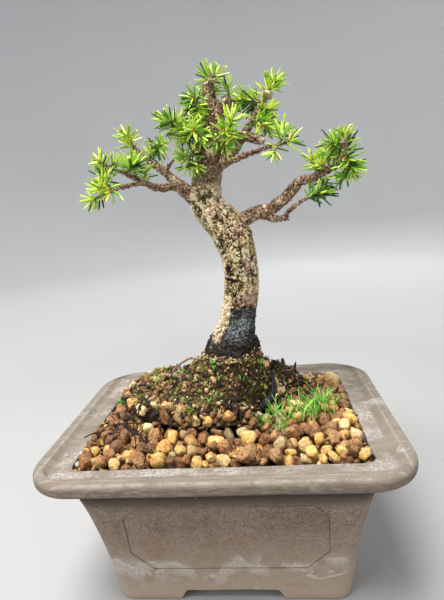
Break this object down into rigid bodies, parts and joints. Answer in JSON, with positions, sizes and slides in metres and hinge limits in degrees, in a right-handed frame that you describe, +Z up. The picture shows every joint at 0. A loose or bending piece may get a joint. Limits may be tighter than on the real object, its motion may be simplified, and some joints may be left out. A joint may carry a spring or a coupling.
{
  "type": "potted spruce bonsai",
  "caption": "Small spruce bonsai with a leaning trunk and tufts of short needles, in a footed rectangular unglazed pot.",
  "frame": {"origin": "on the ground, under the middle of the pot", "axes": "+Z up along the tree; +X to the right and -Y towards the front of the pot, whose long side is along X"},
  "size_m": [0.18, 0.1414, 0.278],
  "materials": {
    "clay": "matte",
    "gravel": "matte",
    "moss": "matte",
    "black_band": "matte",
    "bark": "matte",
    "twig_bark": "matte",
    "needles": "satin"
  },
  "bodies": {
    "root": {"apex_needles": "needles", "crown_back_low_needles": "needles", "crown_back_needles": "needles", "crown_back_right_needles": "needles", "crown_bough_back": "twig_bark", "crown_bough_back_low": "twig_bark", "crown_bough_front": "twig_bark", "crown_bough_left": "twig_bark", "crown_bough_low": "twig_bark", "crown_bough_right": "twig_bark", "crown_front_low_needles": "needles", "crown_front_needles": "needles", "crown_left_needles": "needles", "crown_low_left_needles": "needles", "crown_stub": "twig_bark", "crown_upper_left_needles": "needles", "gravel_bed": "gravel", "left_bough": "twig_bark", "left_bough_lower": "twig_bark", "left_bough_upper": "twig_bark", "left_inner_needles": "needles", "left_middle_needles": "needles", "left_tip_lower_needles": "needles", "left_tip_middle_needles": "needles", "left_tip_upper_needles": "needles", "left_top_needles": "needles", "left_twig_lower": "twig_bark", "left_twig_upper": "twig_bark", "pot": "clay", "right_back_needles": "needles", "right_back_twig": "twig_bark", "right_bough": "twig_bark", "right_bough_tip": "twig_bark", "right_inner_needles": "needles", "right_low_tip_needles": "needles", "right_outer_needles": "needles", "right_spur": "twig_bark", "right_tip_needles": "needles", "right_twig": "twig_bark", "right_under_needles": "needles", "right_upper_needles": "needles", "right_upper_tip_needles": "needles", "root_ball": "moss", "tie_band": "black_band", "trunk": "bark"}
  },
  "joints": []
}
